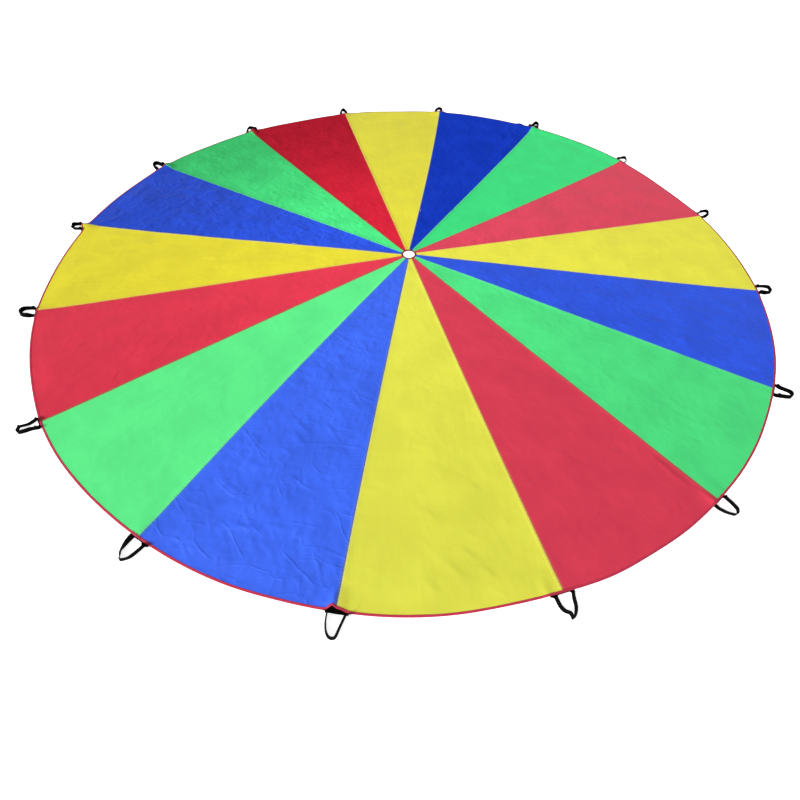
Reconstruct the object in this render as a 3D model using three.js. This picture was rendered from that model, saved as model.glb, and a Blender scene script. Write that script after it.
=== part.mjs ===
// A sixteen-gore play parachute, spread out on the floor.
//
// Millimetres, +Z up. The origin is on the floor, under the centre of the crown hole.
// Seam 1 lies along +X, and gores, seams and handles are numbered anticlockwise from it, seen from above.
//
// The canopy is a flat disc of wedge-shaped gores. Each gore laps over the next one along their shared seam.
// A folded tape binds the rim, and a smaller one binds the crown hole.
// Every handle is a strap: its middle is sewn flat under the hem, and both ends run on into one free loop.
// Cloth and tape are drawn thicker than they are, so that each layer is a solid, with a small gap between layers.
import * as THREE from "three";

// Canopy
const GORE_COUNT = 16;
const CANOPY_RADIUS = 1830;
const CROWN_HOLE_RADIUS = 31;
const CLOTH_THICKNESS = 0.8;
const SEAM_LAP = 10;
const SEAM_STEP_RUN = 1.5;
const BILLOW_HEIGHT = 6;
const BILLOW_START = CANOPY_RADIUS * 0.25;
const BILLOW_FULL = CANOPY_RADIUS * 0.8;

// Binding tapes
const TAPE_THICKNESS = 0.6;
const RIM_TAPE_WIDTH = 12;
const CROWN_TAPE_WIDTH = 10;

// Handles
const STRAP_WIDTH = 20;
const STRAP_THICKNESS = 1.5;
const HANDLE_SPAN = 72;
const HANDLE_REACH = 82;
const BASE_OVERHANG = 7;
const TWIST_START = 6;
const TWIST_END = 46;

// Between layers that are sewn together, and round a strap where it bends
const SEWN_GAP = 0.3;

// Where the cloth starts and stops rising, measured inwards from the rim or outwards from the crown hole
const HEM_RISE_START = 140;
const HEM_RISE_END = 40;
const CROWN_FALL_START = 20;
const CROWN_FALL_END = 110;

// Fineness of the curved surfaces
const FACETS_PER_GORE = 6;
const CROWN_FACETS_PER_GORE = 2;
const LOOP_STEPS = 24;
const NOSE_STEPS = 2;

const COLOURS = {
  yellow: 0xded93e,
  red: 0xd2283f,
  green: 0x4fd878,
  blue: 0x2f56e0,
  binding: 0xc8303a,
  strap: 0x121214,
};
const GORE_COLOURS = ["yellow", "red", "green", "blue"];

// Sizes that follow from the ones above
const GORE_ANGLE = (2 * Math.PI) / GORE_COUNT;
const FACET_ANGLE = GORE_ANGLE / FACETS_PER_GORE;
const RIM_EDGE = CANOPY_RADIUS - TAPE_THICKNESS - SEWN_GAP;
const CROWN_EDGE = CROWN_HOLE_RADIUS + TAPE_THICKNESS + SEWN_GAP;
const LAP_STEP = CLOTH_THICKNESS + SEWN_GAP;
const CROWN_LIFT = TAPE_THICKNESS + SEWN_GAP;
const HEM_LIFT = STRAP_THICKNESS + SEWN_GAP + TAPE_THICKNESS + SEWN_GAP;
const HINGE_OFFSET = STRAP_THICKNESS / 2 + SEWN_GAP;
const HINGE_RADIUS = CANOPY_RADIUS + BASE_OVERHANG + HINGE_OFFSET;

const { lerp, smoothstep } = THREE.MathUtils;

// How high the cloth's underside lies above the floor. It sinks to the floor from the crown tape, rises again
// to lie on the hem and the handle bases, and swells a little between one seam and the next.
function clothHeight(x, y) {
  const radius = Math.hypot(x, y);
  const acrossGore = Math.atan2(y, x) / GORE_ANGLE;
  const crown = 1 - smoothstep(radius, CROWN_EDGE + CROWN_FALL_START, CROWN_EDGE + CROWN_FALL_END);
  const hem = smoothstep(radius, RIM_EDGE - HEM_RISE_START, RIM_EDGE - HEM_RISE_END);
  const swell = smoothstep(radius, BILLOW_START, BILLOW_FULL);
  const betweenSeams = Math.sin(Math.PI * acrossGore) ** 2;
  return CROWN_LIFT * crown + HEM_LIFT * hem + BILLOW_HEIGHT * swell * betweenSeams;
}

// A closed solid through a row of sections. Every section is a loop with the same, even number of points,
// and its first half faces its second half, so that each end closes with a strip of quads.
function loft(sections) {
  const size = sections[0].length;
  const positions = sections.flat().flatMap((point) => point.toArray());
  const index = [];
  const quad = (a, b, c, d) => index.push(a, b, c, a, c, d);
  for (let s = 0; s + 1 < sections.length; s++) {
    for (let i = 0; i < size; i++) {
      const next = (i + 1) % size;
      quad(s * size + i, s * size + next, (s + 1) * size + next, (s + 1) * size + i);
    }
  }
  const last = (sections.length - 1) * size;
  for (let i = 0; i + 1 < size / 2; i++) {
    const across = size - 1 - i;
    quad(i, across, across - 1, i + 1);
    quad(last + i, last + i + 1, last + across - 1, last + across);
  }
  const geometry = new THREE.BufferGeometry();
  geometry.setAttribute("position", new THREE.Float32BufferAttribute(positions, 3));
  geometry.setIndex(index);
  geometry.computeVertexNormals();
  return geometry;
}

// The cut edge of the cloth follows the flat facets of the rim tape at every angle, not only at their corners.
function onRimFacet(radius, angle) {
  const intoFacet = angle - FACET_ANGLE * Math.floor(angle / FACET_ANGLE);
  return (radius * Math.cos(FACET_ANGLE / 2)) / Math.cos(intoFacet - FACET_ANGLE / 2);
}

// The angles and steps of one row of points across a gore, from its right edge to the tip of its lap.
// The lap and its step narrow near the crown, where the gores do.
function goreRow(radius) {
  const width = radius * GORE_ANGLE;
  const halfLap = Math.min(SEAM_LAP / 2, width * 0.2);
  const stepRun = Math.min(SEAM_STEP_RUN, width * 0.08);
  const gap = Math.min(SEWN_GAP, width * 0.04);
  const stepFoot = GORE_ANGLE - (halfLap + gap + stepRun) / radius;
  const row = [{ angle: -halfLap / radius, step: 0 }];
  for (let i = 1; i < FACETS_PER_GORE; i++) {
    const even = (GORE_ANGLE * i) / FACETS_PER_GORE;
    const narrowed = (stepFoot * i) / FACETS_PER_GORE;
    row.push({ angle: width > 10 * SEAM_LAP ? even : narrowed, step: 0 });
  }
  row.push({ angle: stepFoot, step: 0 });
  row.push({ angle: GORE_ANGLE - (halfLap + gap) / radius, step: LAP_STEP });
  row.push({ angle: GORE_ANGLE + halfLap / radius, step: LAP_STEP });
  return row;
}

// One gore: a thin wedge from the crown tape to the rim tape. Its left side steps up and laps over the next gore.
function goreGeometry(number) {
  const turn = (number - 1) * GORE_ANGLE;
  const radii = [
    CROWN_EDGE,
    CROWN_EDGE + CROWN_FALL_START,
    CROWN_EDGE + CROWN_FALL_END,
    BILLOW_START,
    lerp(BILLOW_START, BILLOW_FULL, 1 / 3),
    lerp(BILLOW_START, BILLOW_FULL, 2 / 3),
    BILLOW_FULL,
    RIM_EDGE - HEM_RISE_START,
    RIM_EDGE - (HEM_RISE_START + HEM_RISE_END) / 2,
    RIM_EDGE - HEM_RISE_END,
    RIM_EDGE,
  ];
  const sections = radii.map((radius) => {
    const points = goreRow(radius).map(({ angle, step }) => {
      const r = radius > RIM_EDGE - HEM_RISE_END ? onRimFacet(radius, angle) : radius;
      const x = r * Math.cos(turn + angle);
      const y = r * Math.sin(turn + angle);
      return new THREE.Vector3(x, y, clothHeight(x, y) + step);
    });
    const upper = points.map((p) => p.clone().setZ(p.z + CLOTH_THICKNESS));
    return [...points, ...upper.reverse()];
  });
  return loft(sections);
}

// A tape folded round the cloth's edge. Its section is a C that grips both layers of a seam, turned into a ring.
function bindingGeometry(outsideRadius, width, towardsCentre, facets) {
  const side = towardsCentre ? -1 : 1;
  const web = outsideRadius + side * TAPE_THICKNESS;
  const lip = outsideRadius + side * width;
  const slotBottom = -SEWN_GAP;
  const slotTop = CLOTH_THICKNESS + LAP_STEP + SEWN_GAP;
  const profile = [
    [outsideRadius, slotBottom - TAPE_THICKNESS],
    [outsideRadius, slotTop + TAPE_THICKNESS],
    [lip, slotTop + TAPE_THICKNESS],
    [lip, slotTop],
    [web, slotTop],
    [web, slotBottom],
    [lip, slotBottom],
    [lip, slotBottom - TAPE_THICKNESS],
  ];
  if (!towardsCentre) profile.reverse();
  const loop = [...profile, profile[0]].map(([r, z]) => new THREE.Vector2(r, z));
  const geometry = new THREE.LatheGeometry(loop, facets);
  geometry.rotateX(Math.PI / 2);
  const place = geometry.getAttribute("position");
  for (let i = 0; i < place.count; i++) {
    place.setZ(i, place.getZ(i) + clothHeight(place.getX(i), place.getY(i)));
  }
  geometry.computeVertexNormals();
  return geometry;
}

// A strap's end is rounded off by a few steps, from its full thickness to a third of it.
const noseSteps = Array.from({ length: NOSE_STEPS }, (_, i) => {
  const round = (Math.PI / 2) * ((i + 1) / (NOSE_STEPS + 0.6));
  return { out: (STRAP_THICKNESS / 2) * Math.sin(round), squeeze: Math.cos(round) };
});

// The sewn middle of a strap, flat on the floor under the hem. The strap is folded over at 45 degrees at each end,
// so that it turns outwards, and the two folds give the base its slanting sides.
// Drawn from the hinge line, with +X outwards and +Y along the rim.
function handleBaseGeometry() {
  const outer = -HINGE_OFFSET;
  const section = (x, squeeze = 1) => {
    const half = HANDLE_SPAN / 2 + x - outer;
    const low = (STRAP_THICKNESS / 2) * (1 - squeeze);
    const high = STRAP_THICKNESS - low;
    return [
      new THREE.Vector3(x, -half, low),
      new THREE.Vector3(x, half, low),
      new THREE.Vector3(x, half, high),
      new THREE.Vector3(x, -half, high),
    ];
  };
  const flatEnd = outer - STRAP_THICKNESS / 2;
  const nose = noseSteps.map(({ out, squeeze }) => section(flatEnd + out, squeeze));
  return loft([section(outer - STRAP_WIDTH), section(flatEnd), ...nose]);
}

// The free loop of a handle. Its outer edge runs round half an ellipse on the floor.
// Each leg leaves the hem lying flat, and twists until the strap stands on edge round the tip.
// Drawn from the hinge line, with +X outwards and +Y along the rim.
function handleLoopGeometry() {
  const reach = HANDLE_REACH - BASE_OVERHANG - HINGE_OFFSET - STRAP_THICKNESS;
  const ellipse = new THREE.EllipseCurve(0, 0, reach, HANDLE_SPAN / 2, -Math.PI / 2, Math.PI / 2);
  const up = new THREE.Vector3(0, 0, 1);

  // The strap's section: its outer edge at `foot`, its width leaning inwards and up by `twist`.
  // A squeeze under 1 thins it about its middle, for the rounded end at the hinge line.
  const section = (foot, inwards, twist, squeeze = 1) => {
    const across = inwards.clone().multiplyScalar(Math.cos(twist)).addScaledVector(up, Math.sin(twist));
    const through = inwards.clone().multiplyScalar(-Math.sin(twist)).addScaledVector(up, Math.cos(twist));
    const start = foot.clone().addScaledVector(through, (STRAP_THICKNESS / 2) * (1 - squeeze));
    const far = start.clone().addScaledVector(across, STRAP_WIDTH);
    const thick = through.multiplyScalar(STRAP_THICKNESS * squeeze);
    return [start, far, far.clone().add(thick), start.clone().add(thick)];
  };

  const along = [];
  for (let i = 0; i <= LOOP_STEPS; i++) {
    const point = ellipse.getPointAt(i / LOOP_STEPS);
    const tangent = ellipse.getTangentAt(i / LOOP_STEPS);
    const inwards = new THREE.Vector3(-tangent.y, tangent.x, 0);
    const twist = (Math.PI / 2) * smoothstep(point.x, TWIST_START, TWIST_END);
    along.push(section(new THREE.Vector3(point.x, point.y, 0), inwards, twist));
  }

  const nose = (side) => {
    const inwards = new THREE.Vector3(0, -side, 0);
    return noseSteps.map(({ out, squeeze }) => {
      const foot = new THREE.Vector3(-out, (side * HANDLE_SPAN) / 2, 0);
      return section(foot, inwards, 0, squeeze);
    });
  };
  return loft([...nose(-1).reverse(), ...along, ...nose(1)]);
}

function fabric(colour, roughness) {
  return new THREE.MeshStandardMaterial({ color: COLOURS[colour], roughness, metalness: 0 });
}

function piece(name, geometry, material) {
  const mesh = new THREE.Mesh(geometry, material);
  mesh.name = name;
  return mesh;
}

// Moves a piece drawn from the hinge line to its handle's place on the rim.
function placeOnRim(mesh, number) {
  const angle = (number - 1) * GORE_ANGLE;
  mesh.position.set(HINGE_RADIUS * Math.cos(angle), HINGE_RADIUS * Math.sin(angle), 0);
  mesh.rotation.z = angle;
  return mesh;
}

const twoDigits = (number) => String(number).padStart(2, "0");
const goreFabrics = GORE_COLOURS.map((colour) => fabric(colour, 0.5));
const bindingFabric = fabric("binding", 0.6);
const webbing = fabric("strap", 0.8);

const canopy = new THREE.Group();
for (let number = 1; number <= GORE_COUNT; number++) {
  const shade = (number - 1) % GORE_COLOURS.length;
  const name = `gore_${twoDigits(number)}_${GORE_COLOURS[shade]}`;
  canopy.add(piece(name, goreGeometry(number), goreFabrics[shade]));
}
const rimFacets = GORE_COUNT * FACETS_PER_GORE;
const crownFacets = GORE_COUNT * CROWN_FACETS_PER_GORE;
canopy.add(piece("rim_binding", bindingGeometry(CANOPY_RADIUS, RIM_TAPE_WIDTH, true, rimFacets), bindingFabric));
canopy.add(
  piece("crown_binding", bindingGeometry(CROWN_HOLE_RADIUS, CROWN_TAPE_WIDTH, false, crownFacets), bindingFabric),
);

const handles = new THREE.Group();
for (let number = 1; number <= GORE_COUNT; number++) {
  const name = `handle_${twoDigits(number)}`;
  handles.add(placeOnRim(piece(`${name}_base`, handleBaseGeometry(), webbing), number));
  handles.add(placeOnRim(piece(`${name}_loop`, handleLoopGeometry(), webbing), number));
}

const parachute = new THREE.Group();
parachute.add(canopy, handles);

export default parachute;
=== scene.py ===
import math

import bpy
import numpy as np
from mathutils import Matrix, Vector


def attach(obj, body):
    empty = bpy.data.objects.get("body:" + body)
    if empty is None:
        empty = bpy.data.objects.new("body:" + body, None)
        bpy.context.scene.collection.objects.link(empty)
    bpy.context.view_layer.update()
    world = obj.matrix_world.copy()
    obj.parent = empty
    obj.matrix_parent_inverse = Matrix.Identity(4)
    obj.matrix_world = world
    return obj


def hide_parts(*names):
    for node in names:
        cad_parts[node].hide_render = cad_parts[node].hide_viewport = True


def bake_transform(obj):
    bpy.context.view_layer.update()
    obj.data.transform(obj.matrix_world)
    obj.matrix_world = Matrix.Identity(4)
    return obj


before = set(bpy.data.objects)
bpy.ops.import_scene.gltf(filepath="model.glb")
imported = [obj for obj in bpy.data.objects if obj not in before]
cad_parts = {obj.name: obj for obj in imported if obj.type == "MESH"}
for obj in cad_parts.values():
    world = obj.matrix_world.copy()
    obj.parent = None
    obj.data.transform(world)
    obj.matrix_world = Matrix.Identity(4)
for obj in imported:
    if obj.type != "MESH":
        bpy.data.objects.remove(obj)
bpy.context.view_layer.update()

GORES = 16
STEP = 2 * math.pi / GORES
RADIUS = 1.830
HOLE = 0.031
MM = 0.001
COLOURS = ["yellow", "red", "green", "blue"]

# The cloth's own sizes, thinner than the solids that stand in for it
CLOTH = 0.45 * MM
LAP_LIFT = 0.60 * MM
TAPE = 0.50 * MM
RIM_TAPE = 8 * MM
CROWN_TAPE = 10 * MM
STRAP_WIDTH = 23 * MM
STRAP = 1.6 * MM
HEM_AT_HANDLE = 3.6 * MM
HEM_BETWEEN = 1.2 * MM
# Half of the doubled strip of a seam
LAP = 5 * MM
# How far in from the rim the cloth starts its rise to the hem and ends it, and where it starts to draw back
RISE_START, RISE_END, DRAW_START = 0.09, 0.015, 0.12
# The gaps kept between the cloth or tape and the strap under it, at its sewn middle and at the loop's roots, and the
# lowest place of the sewn middle
BASE_GAP, ROOT_GAP = 0.35 * MM, 0.45 * MM
BASE_FLOOR = STRAP + 0.15 * MM

# How far the cloth has crept sideways along each seam, anticlockwise: at one third of the radius, at two thirds and
# at the rim, in mm
SEAMS = [
    (-17, -29, -31), (-19, -36, -50), (-20, -32, -32), (-13, -21, -21), (-12, -14, -4), (5, 10, 14),
    (16, 28, 33), (6, 11, 12), (8, 17, 12), (8, 13, 12), (3, 5, 5), (-8, -8, 3),
    (-2, 0, 8), (1, 6, 17), (1, 6, 12), (-5, -7, -8),
]
CREEP = [seam[2] for seam in SEAMS]

# How far the rim lies outside its even circle, four places to a gore from its right-hand seam on, in mm
RIM_OUT = [
    6, 3, 2, 3, 1, -7, -8, 2, 8, 11, 12, 15, 14, 12, 13, 14,
    12, 8, 4, 6, 5, -4, -11, -6, 2, 0, -1, 3, 4, 3, 1, 1,
    1, -2, -5, -4, 1, 1, 0, 0, 4, 4, 1, -1, 0, 3, 5, 3,
    5, 7, 6, 1, 2, 8, 5, 6, 4, 5, 5, 3, 5, 8, 8, 7,
]

# Where the hem stands up from the floor between the handles: places counted in gores, and heights in mm
HEM_RISE = [
    (1.8, 0), (2.15, 6), (2.6, 6), (2.85, 8), (3.2, 6), (3.5, 6), (3.75, 7), (4.1, 5), (4.4, 1), (4.7, 1.5), (5, 0),
    (6.5, 0), (6.85, 4), (7.1, 4), (7.3, 0),
]

# Each handle as it lies, from its right-hand root round the tip to its left-hand root as seen from the middle:
# places along the rim, anticlockwise, and out from it, in mm from the even place of its seam
HANDLES = [
    [(-43, 0), (-49, 34), (-37, 67), (-18, 66), (-1, 64), (3, 69), (8, 39), (0, 0)],
    [(-49, 0), (-67, 21), (-57, 39), (-45, 63), (-15, 63), (-11, 44), (-13, 22), (-11, 0)],
    [(-44, 0), (-50, 22), (-44, 45), (-17, 68), (-4, 54), (4, 33), (0, 17), (-5, 0)],
    [(-37, 0), (-50, 38), (-42, 73), (-9, 99), (-13, 71), (-11, 33), (13, 0)],
    [(-11, 0), (-20, 30), (-21, 57), (8, 78), (22, 62), (26, 32), (30, 0)],
    [(13, 0), (15, 23), (18, 45), (20, 61), (48, 53), (54, 28), (52, 0)],
    [(-11, 0), (5, 21), (18, 41), (28, 48), (52, 44), (62, 23), (66, 0)],
    [(-1, 0), (31, 18), (25, 43), (27, 68), (62, 58), (75, 24), (73, 0)],
    [(-3, 0), (24, 26), (28, 62), (42, 65), (55, 44), (70, 53), (65, 29), (65, 0)],
    [(7, 0), (-2, 29), (-5, 50), (2, 59), (28, 68), (41, 54), (53, 30), (43, 0)],
    [(-13, 0), (-5, 15), (1, 37), (-13, 76), (-14, 62), (-8, 72), (19, 85), (28, 51), (30, 31), (42, 15), (22, 0)],
    [(-16, 0), (-17, 27), (-7, 64), (10, 73), (16, 85), (40, 58), (47, 18), (48, 0)],
    [(-16, 0), (-14, 38), (-6, 66), (8, 82), (29, 81), (37, 47), (44, 21), (50, 0)],
    [(-15, 0), (-13, 39), (-4, 58), (13, 64), (9, 87), (16, 80), (34, 53), (41, 17), (50, 0)],
    [(-10, 0), (-20, 12), (-11, 42), (10, 73), (33, 65), (39, 37), (40, 16), (43, 0)],
    [(-31, 0), (-46, 18), (-33, 54), (-22, 75), (6, 68), (7, 37), (7, 17), (26, 0)],
]

# How far out from the rim the strap of each leg stands on edge, right-hand leg and left-hand leg, in mm
LEGS = [
    (15, 10), (27, 10), (39, 10), (10, 10), (17, 61), (10, 23), (10, 26), (10, 29),
    (36, 10), (10, 35), (10, 21), (91, 10), (10, 10), (10, 10), (10, 10), (27, 10),
]

# How far out the strap of each leg still lies flat, where it isn't 3 because the hem lies over it, in mm
UNDER_HEM = {8: (16, 3)}

# The angle from lying flat at which the strap stands, right-hand leg and left-hand leg, in degrees
LEAN = [
    (83, 80), (65, 79), (77, 71), (85, 128), (75, 79), (107, 60), (85, 54), (127, 89),
    (81, 111), (90, 66), (73, 91), (61, 94), (70, 81), (77, 100), (97, 82), (85, 83),
]

# Which way up each leg's root lies: 0, or 180 where the strap turns the other way to stand on edge
ROOTS = [
    (0, 180), (0, 0), (180, 180), (0, 180), (0, 180), (180, 0), (180, 0), (180, 0),
    (180, 0), (180, 0), (180, 0), (0, 0), (180, 180), (0, 180), (0, 180), (0, 180),
]

# How far the sewn middle of a strap shows past the hem, in mm, where it isn't 2
BASE_OUT = {3: 5, 8: 5, 10: 5, 11: 4, 12: 6}

# Little tents in the hem by the handles: handle index, sideways place, height, half width and how far the hem draws
# back there, or below 0 how far it reaches out, in mm
TENTS = [
    (2, 4, 3, 26, 0), (3, 2, 7, 30, 0), (3, 104, 8, 24, 0), (4, -6, 6, 34, 0), (5, 4, 4, 24, 0), (6, -12, 15, 20, 0),
    (7, -6, 9, 22, 0), (8, 20, 12, 22, -20), (9, 4, 3, 24, 0), (11, -10, 4, 24, 0), (12, -10, 8, 12, 12),
    (12, 13, 5, 22, 8), (13, -48, 2, 14, 0), (14, -16, 6, 12, 0),
]
TENT_HEIGHT, TENT_DRAW = 2, 4

# How crumpled each gore is, from 0 to 1
CRUMPLED = [0.25, 0.5, 0.25, 0.6, 0.25, 0.6, 0.65, 1.0, 0.28, 0.36, 0.18, 0.8, 0.19, 0.23, 0.34, 0.72]

# A gore more crumpled than this has a finer mesh
FINE_FROM = 0.4

# Which way most creases run in a gore, in degrees from its axis, where it isn't 30
CREASE_TURN = {3: 5, 7: 14, 11: 82, 15: 12}


def smooth(x, low, high):
    t = np.clip((np.asarray(x, float) - low) / (high - low), 0, 1)
    return t * t * (3 - 2 * t)


def noise(x, y, seed):
    """Smooth random waves over the plane, about one per unit, from -1 to 1."""
    turn = np.random.default_rng(seed).uniform(0, 2 * math.pi, (64, 64))
    gx, gy = np.cos(turn), np.sin(turn)
    ix, iy = np.floor(x).astype(int), np.floor(y).astype(int)
    fx, fy = x - ix, y - iy

    def corner(dx, dy):
        i, j = (ix + dx) % 64, (iy + dy) % 64
        return gx[i, j] * (fx - dx) + gy[i, j] * (fy - dy)

    sx, sy = (t * t * t * (t * (6 * t - 15) + 10) for t in (fx, fy))
    low = corner(0, 0) * (1 - sx) + corner(1, 0) * sx
    high = corner(0, 1) * (1 - sx) + corner(1, 1) * sx
    return 1.5 * (low * (1 - sy) + high * sy)


def crumple_share(a):
    """How crumpled the cloth is at angle a. It changes over a short way either side of a seam."""
    place = (a / STEP) % GORES
    gore = np.floor(place).astype(int) % GORES
    into = place - np.floor(place)
    levels = np.array(CRUMPLED)
    here = levels[gore]
    edge = 0.05
    left = (here + levels[(gore + 1) % GORES]) / 2
    right = (here + levels[(gore - 1) % GORES]) / 2
    share = np.where(into < edge, right + (here - right) * smooth(into, 0, edge), here)
    return np.where(into > 1 - edge, here + (left - here) * smooth(into, 1 - edge, 1), share)


def random_creases():
    """Creases at random: gore, place, direction, length, half width, height and bend."""
    rng = np.random.default_rng(11)
    made = []
    for gore in range(GORES):
        count = int(14 + 130 * CRUMPLED[gore] ** 1.4)
        for _ in range(count):
            r = RADIUS * math.sqrt(rng.uniform(0.03, 0.97))
            a = STEP * (gore + rng.uniform(0.08, 0.92))
            along = STEP * (gore + 0.5) + math.radians(CREASE_TURN.get(gore, 30)) + rng.normal(0, 0.55)
            length = rng.uniform(0.04, 0.15)
            width = rng.choice([-1, 1]) * rng.uniform(0.004, 0.008)
            height = rng.choice([1, 1, -1]) * rng.uniform(0.3, 1.0) * 1.7 * MM * (0.2 + 1.1 * CRUMPLED[gore])
            made.append((gore, r * math.cos(a), r * math.sin(a), along, length, width, height, rng.normal(0, 1.6)))
    return made


# Creases read off the photograph: gore, share of radius, share across, direction against the gore's axis in degrees,
# length, half width and height in mm
SEEN_CREASES = [
    (11, 0.66, 0.42, 62, 230, 9, 3.0), (11, 0.69, 0.46, 60, 190, 8, 2.6), (11, 0.60, 0.52, 66, 150, 9, 2.4),
    (11, 0.78, 0.30, 100, 160, 10, 2.4), (11, 0.84, 0.22, 80, 140, 9, 2.6), (11, 0.74, 0.20, 20, 120, 8, 2.2),
    (11, 0.55, 0.62, 130, 150, 9, 2.2), (11, 0.46, 0.40, 40, 140, 8, 2.0), (11, 0.88, 0.62, 95, 130, 9, 2.0),
    (11, 0.50, 0.22, 95, 120, 9, 2.2), (11, 0.90, 0.42, 110, 150, 10, 2.2), (11, 0.36, 0.50, 60, 100, 7, 1.8),
    (7, 0.80, 0.25, 12, 260, 9, 2.6), (7, 0.66, 0.35, 20, 220, 9, 2.6), (7, 0.52, 0.50, 8, 240, 9, 2.4),
    (7, 0.72, 0.66, 25, 200, 9, 2.2), (7, 0.90, 0.55, 18, 180, 8, 2.2), (7, 0.42, 0.35, 14, 160, 8, 2.0),
    (8, 0.88, 0.12, 8, 260, 10, 3.0), (8, 0.78, 0.22, 16, 220, 10, 2.0),
    (12, 0.93, 0.55, 50, 150, 8, 1.8), (12, 0.90, 0.62, 48, 150, 8, 1.6), (12, 0.94, 0.70, 46, 120, 8, 1.5),
    (12, 0.82, 0.45, 60, 170, 9, 1.2), (12, 0.95, 0.42, 44, 110, 8, 1.5),
    (13, 0.90, 0.95, 0, 240, 6, 2.8), (3, 0.82, 0.078, 1, 600, -9, 4.5), (3, 0.82, 0.036, 0, 560, -7, 3.0),
    (3, 0.90, 0.16, 35, 130, -7, 3.4), (3, 0.86, 0.23, 20, 130, -7, 3.2), (3, 0.94, 0.22, -20, 120, -7, 3.2),
    (15, 0.55, 0.55, 5, 300, 12, 2.2), (15, 0.80, 0.62, 4, 320, 12, 2.0), (15, 0.70, 0.35, 6, 240, 10, 1.8),
    (14, 0.28, 0.45, 70, 120, 8, 1.8), (4, 0.93, 0.85, 20, 130, 8, 2.0), (5, 0.88, 0.90, 0, 200, 9, 3.0),
]
CREASES = random_creases()
for gore, out, across, turn, length, width, height in SEEN_CREASES:
    a = STEP * (gore + across)
    r = RADIUS * out
    CREASES.append(
        (gore, r * math.cos(a), r * math.sin(a), a + math.radians(turn), length * MM, width * MM, height * MM, 0.6)
    )


def creases_at(x, y, gore):
    """The height that the gore's creases add, each a ridge or a furrow that is steep on one side."""
    total = np.zeros_like(x)
    for g, cx, cy, turn, length, width, height, bend in CREASES:
        if g != gore:
            continue
        dx, dy = x - cx, y - cy
        s = dx * math.cos(turn) + dy * math.sin(turn)
        d = -dx * math.sin(turn) + dy * math.cos(turn)
        near = (np.abs(s) < length / 2) & (np.abs(d) < 0.06)
        s, d = s[near], d[near]
        d = (d - bend * s * s) / width + 0.25 * np.sin(s * 90)
        fade = np.cos(math.pi * s / length) ** 2
        d = np.where(d > 0, d, 0.38 * d)
        total[near] += height * fade * np.exp(0.3 - np.sqrt(d * d + 0.09))
    return total


def sideways_creep(a, r):
    """How far the cloth has crept sideways at angle a and radius r, in metres. It is nothing at the middle."""
    place = (a / STEP) % GORES
    k = np.floor(place).astype(int) % GORES
    t = place - np.floor(place)
    t = t * t * (3 - 2 * t)
    q = np.minimum(r / RADIUS, 1.0)
    third = 13.5 * q * (q - 2 / 3) * (q - 1)
    two_thirds = -13.5 * q * (q - 1 / 3) * (q - 1)
    whole = 4.5 * q * (q - 1 / 3) * (q - 2 / 3)
    seams = np.array(SEAMS) * MM
    right, left = (seams[i, 0] * third + seams[i, 1] * two_thirds + seams[i, 2] * whole for i in (k, (k + 1) % GORES))
    return right * (1 - t) + left * t


def round_the_rim(values, a):
    """A smooth closed curve through values that stand evenly round the rim, at angle a."""
    values = np.array(values, float)
    count = len(values)
    place = (a / (2 * math.pi) * count) % count
    i = np.floor(place).astype(int) % count
    t = place - np.floor(place)
    before, here, after, beyond = (values[(i + j) % count] for j in (-1, 0, 1, 2))
    return here + 0.5 * t * (
        after - before + t * (2 * before - 5 * here + 4 * after - beyond + t * (3 * (here - after) + beyond - before))
    )


def rim_out(a):
    """How far the cloth's edge lies outside its even circle, at angle a, in metres."""
    return round_the_rim(RIM_OUT, a) * MM


def handle_ends(k):
    """Where the handle's two roots are along the rim of the cloth, before the cloth's creep, in metres."""
    half = STRAP_WIDTH / 2
    return (HANDLES[k][0][0] - CREEP[k]) * MM - half, (HANDLES[k][-1][0] - CREEP[k]) * MM + half


def hem_height(a):
    """The hem's height at angle a of the even circle: low between the handles, over the straps at them."""
    place = (a / STEP) % GORES
    k = np.round(place).astype(int) % GORES
    u = (place - np.round(place)) * STEP * RADIUS
    ends = np.array([handle_ends(i) for i in range(GORES)])
    left, right = ends[k, 0], ends[k, 1]
    over = smooth(u, left - 0.035, left) * (1 - smooth(u, right, right + 0.035))
    wave = 0.5 + 0.5 * noise(place * 3.1, place * 0 + 0.37, 5)
    hem = HEM_BETWEEN + 1.6 * MM * wave * (1 - over) + (HEM_AT_HANDLE - HEM_BETWEEN) * over
    places, heights = zip(*HEM_RISE)
    return hem + np.interp(place, places, heights) * MM + tents(k, u, TENT_HEIGHT)


def tents(k, u, part):
    """The tents' height or the draw back of their edge, as part says, at u along the rim from handle k."""
    total = np.zeros_like(u)
    for tent in TENTS:
        near = np.exp(-(((u - tent[1] * MM) / (tent[3] * MM)) ** 2))
        total += np.where(k == tent[0], tent[part] * MM * near, 0)
    return total


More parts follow.
